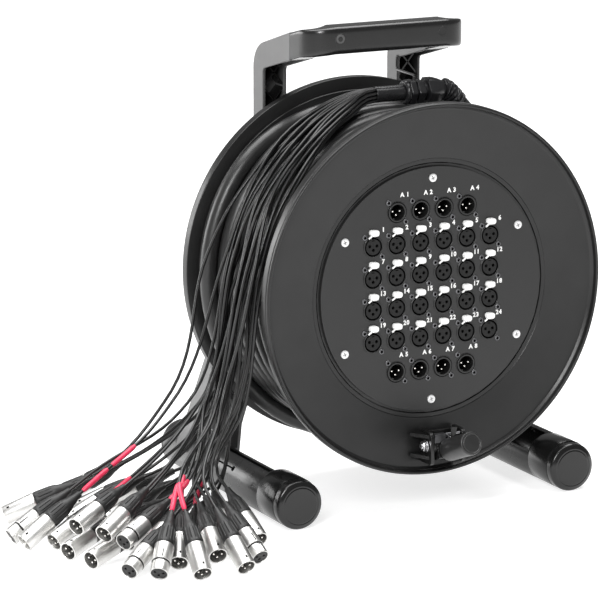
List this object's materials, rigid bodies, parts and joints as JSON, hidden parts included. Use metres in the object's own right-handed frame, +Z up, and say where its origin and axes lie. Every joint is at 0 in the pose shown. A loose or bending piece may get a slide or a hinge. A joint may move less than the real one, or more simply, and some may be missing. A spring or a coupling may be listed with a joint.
{
  "type": "stage box snake on a cable drum",
  "caption": "Cable drum with a built-in stage box panel of female and male sockets, a multicore cable winding, a gland and a fan of plug-ended tails, on a carrying frame with two tubular feet.",
  "frame": {"origin": "on the floor under the middle of the drum and its frame, between the two feet", "axes": "+Z up, -Y out of the connector panel along the drum's axis, +X to the right of someone who faces the panel"},
  "size_m": [0.6286, 0.4005, 0.485],
  "materials": {
    "drum_plastic": "satin",
    "frame_plastic": "satin",
    "grip_plastic": "satin",
    "grip_rubber": "matte",
    "cable_rubber": "satin",
    "tail_rubber": "satin",
    "sleeve_rubber": "satin",
    "gland_plastic": "satin",
    "socket_plastic": "satin",
    "tab_plastic": "satin",
    "black_paint": "satin",
    "bright_steel": "satin"
  },
  "bodies": {
    "frame": {"frame_moulding": "frame_plastic", "handle_grip": "grip_plastic", "foot_tube_left": "frame_plastic", "foot_tube_right": "frame_plastic", "foot_cap_front_left": "grip_plastic", "foot_cap_front_right": "grip_plastic", "foot_cap_rear_left": "grip_plastic", "foot_cap_rear_right": "grip_plastic", "axle": "bright_steel", "axle_nut": "bright_steel", "tail_sleeve": "sleeve_rubber", "gland_body": "gland_plastic", "gland_dome_nut": "gland_plastic", "bend_relief": "sleeve_rubber", "cable_lead": "cable_rubber", "gland_bail": "bright_steel", "tails_1": "tail_rubber", "tails_2": "tail_rubber", "tails_3": "tail_rubber", "tails_4": "tail_rubber"},
    "drum": {"front_flange": "drum_plastic", "rear_flange": "drum_plastic", "drum_core": "drum_plastic", "winding_core": "cable_rubber", "cable_winding": "cable_rubber", "connector_panel": "black_paint", "female_sockets_row_1": "socket_plastic", "female_sockets_row_2": "socket_plastic", "female_sockets_row_3": "socket_plastic", "female_sockets_row_4": "socket_plastic", "male_sockets_top": "socket_plastic", "male_sockets_bottom": "socket_plastic", "crank_bracket": "black_paint", "crank_bolt": "bright_steel"},
    "crank": {"crank_arm": "grip_plastic"},
    "crank_knob": {"crank_grip": "grip_rubber"},
    "tab_1": {"release_tab_1": "tab_plastic"},
    "tab_2": {"release_tab_2": "tab_plastic"},
    "tab_3": {"release_tab_3": "tab_plastic"},
    "tab_4": {"release_tab_4": "tab_plastic"},
    "tab_5": {"release_tab_5": "tab_plastic"},
    "tab_6": {"release_tab_6": "tab_plastic"},
    "tab_7": {"release_tab_7": "tab_plastic"},
    "tab_8": {"release_tab_8": "tab_plastic"},
    "tab_9": {"release_tab_9": "tab_plastic"},
    "tab_10": {"release_tab_10": "tab_plastic"},
    "tab_11": {"release_tab_11": "tab_plastic"},
    "tab_12": {"release_tab_12": "tab_plastic"},
    "tab_13": {"release_tab_13": "tab_plastic"},
    "tab_14": {"release_tab_14": "tab_plastic"},
    "tab_15": {"release_tab_15": "tab_plastic"},
    "tab_16": {"release_tab_16": "tab_plastic"},
    "tab_17": {"release_tab_17": "tab_plastic"},
    "tab_18": {"release_tab_18": "tab_plastic"},
    "tab_19": {"release_tab_19": "tab_plastic"},
    "tab_20": {"release_tab_20": "tab_plastic"},
    "tab_21": {"release_tab_21": "tab_plastic"},
    "tab_22": {"release_tab_22": "tab_plastic"},
    "tab_23": {"release_tab_23": "tab_plastic"},
    "tab_24": {"release_tab_24": "tab_plastic"}
  },
  "joints": [
    {"name": "drum_spin", "type": "hinge", "parent": "frame", "child": "drum", "pos_m": [0, 0, 0.226], "axis": [0, 1, 0], "continuous": true},
    {"name": "crank_fold", "type": "hinge", "parent": "drum", "child": "crank", "pos_m": [0.006, -0.10939, 0.069], "axis": [-1, 0, 0], "range_deg": [-21, 69]},
    {"name": "knob_spin", "type": "hinge", "parent": "crank", "child": "crank_knob", "pos_m": [0.006, -0.11208, 0.062], "axis": [0, -0.9336, 0.3584], "continuous": true},
    {"name": "tab_1_press", "type": "slide", "parent": "drum", "child": "tab_1", "axis": [0, 1, 0], "range_m": [0, 0.0015], "stiffness_N_per_m": 600},
    {"name": "tab_2_press", "type": "slide", "parent": "drum", "child": "tab_2", "axis": [0, 1, 0], "range_m": [0, 0.0015], "stiffness_N_per_m": 600},
    {"name": "tab_3_press", "type": "slide", "parent": "drum", "child": "tab_3", "axis": [0, 1, 0], "range_m": [0, 0.0015], "stiffness_N_per_m": 600},
    {"name": "tab_4_press", "type": "slide", "parent": "drum", "child": "tab_4", "axis": [0, 1, 0], "range_m": [0, 0.0015], "stiffness_N_per_m": 600},
    {"name": "tab_5_press", "type": "slide", "parent": "drum", "child": "tab_5", "axis": [0, 1, 0], "range_m": [0, 0.0015], "stiffness_N_per_m": 600},
    {"name": "tab_6_press", "type": "slide", "parent": "drum", "child": "tab_6", "axis": [0, 1, 0], "range_m": [0, 0.0015], "stiffness_N_per_m": 600},
    {"name": "tab_7_press", "type": "slide", "parent": "drum", "child": "tab_7", "axis": [0, 1, 0], "range_m": [0, 0.0015], "stiffness_N_per_m": 600},
    {"name": "tab_8_press", "type": "slide", "parent": "drum", "child": "tab_8", "axis": [0, 1, 0], "range_m": [0, 0.0015], "stiffness_N_per_m": 600},
    {"name": "tab_9_press", "type": "slide", "parent": "drum", "child": "tab_9", "axis": [0, 1, 0], "range_m": [0, 0.0015], "stiffness_N_per_m": 600},
    {"name": "tab_10_press", "type": "slide", "parent": "drum", "child": "tab_10", "axis": [0, 1, 0], "range_m": [0, 0.0015], "stiffness_N_per_m": 600},
    {"name": "tab_11_press", "type": "slide", "parent": "drum", "child": "tab_11", "axis": [0, 1, 0], "range_m": [0, 0.0015], "stiffness_N_per_m": 600},
    {"name": "tab_12_press", "type": "slide", "parent": "drum", "child": "tab_12", "axis": [0, 1, 0], "range_m": [0, 0.0015], "stiffness_N_per_m": 600},
    {"name": "tab_13_press", "type": "slide", "parent": "drum", "child": "tab_13", "axis": [0, 1, 0], "range_m": [0, 0.0015], "stiffness_N_per_m": 600},
    {"name": "tab_14_press", "type": "slide", "parent": "drum", "child": "tab_14", "axis": [0, 1, 0], "range_m": [0, 0.0015], "stiffness_N_per_m": 600},
    {"name": "tab_15_press", "type": "slide", "parent": "drum", "child": "tab_15", "axis": [0, 1, 0], "range_m": [0, 0.0015], "stiffness_N_per_m": 600},
    {"name": "tab_16_press", "type": "slide", "parent": "drum", "child": "tab_16", "axis": [0, 1, 0], "range_m": [0, 0.0015], "stiffness_N_per_m": 600},
    {"name": "tab_17_press", "type": "slide", "parent": "drum", "child": "tab_17", "axis": [0, 1, 0], "range_m": [0, 0.0015], "stiffness_N_per_m": 600},
    {"name": "tab_18_press", "type": "slide", "parent": "drum", "child": "tab_18", "axis": [0, 1, 0], "range_m": [0, 0.0015], "stiffness_N_per_m": 600},
    {"name": "tab_19_press", "type": "slide", "parent": "drum", "child": "tab_19", "axis": [0, 1, 0], "range_m": [0, 0.0015], "stiffness_N_per_m": 600},
    {"name": "tab_20_press", "type": "slide", "parent": "drum", "child": "tab_20", "axis": [0, 1, 0], "range_m": [0, 0.0015], "stiffness_N_per_m": 600},
    {"name": "tab_21_press", "type": "slide", "parent": "drum", "child": "tab_21", "axis": [0, 1, 0], "range_m": [0, 0.0015], "stiffness_N_per_m": 600},
    {"name": "tab_22_press", "type": "slide", "parent": "drum", "child": "tab_22", "axis": [0, 1, 0], "range_m": [0, 0.0015], "stiffness_N_per_m": 600},
    {"name": "tab_23_press", "type": "slide", "parent": "drum", "child": "tab_23", "axis": [0, 1, 0], "range_m": [0, 0.0015], "stiffness_N_per_m": 600},
    {"name": "tab_24_press", "type": "slide", "parent": "drum", "child": "tab_24", "axis": [0, 1, 0], "range_m": [0, 0.0015], "stiffness_N_per_m": 600}
  ]
}
